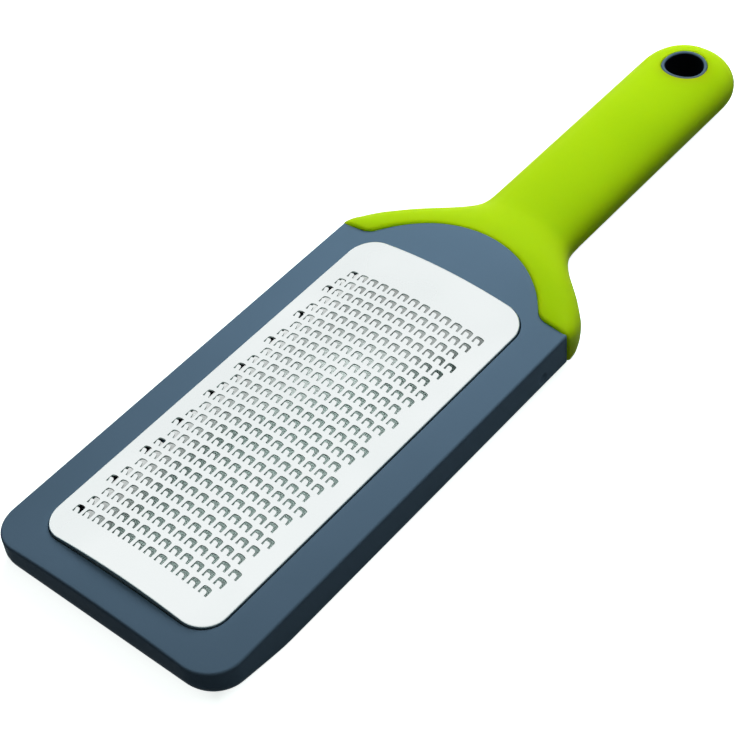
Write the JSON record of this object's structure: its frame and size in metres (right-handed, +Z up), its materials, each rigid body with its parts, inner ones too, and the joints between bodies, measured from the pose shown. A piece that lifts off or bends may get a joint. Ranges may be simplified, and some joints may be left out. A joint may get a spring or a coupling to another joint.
{
  "type": "rasp zester",
  "caption": "Hand rasp zester: a wide domed, etched steel grating blade in a moulded open-bottomed frame, on an oval soft grip with a hanging hole.",
  "frame": {"origin": "on the centre line at mid length, at the level of the grip's underside", "axes": "+Y from the frame's nose towards the hanging hole, +Z up through the blade's crown, +X across the blade"},
  "size_m": [0.087, 0.2935, 0.024],
  "materials": {
    "etched_steel": "bright satin stainless sheet with etched windows",
    "slate_plastic": "satin slate blue moulding",
    "retainer_plastic": "satin black moulding",
    "lime_overmould": "soft satin lime overmould"
  },
  "bodies": {
    "root": {"blade": "etched_steel", "frame": "slate_plastic", "blade_retainer": "retainer_plastic", "grip": "lime_overmould"}
  },
  "joints": []
}
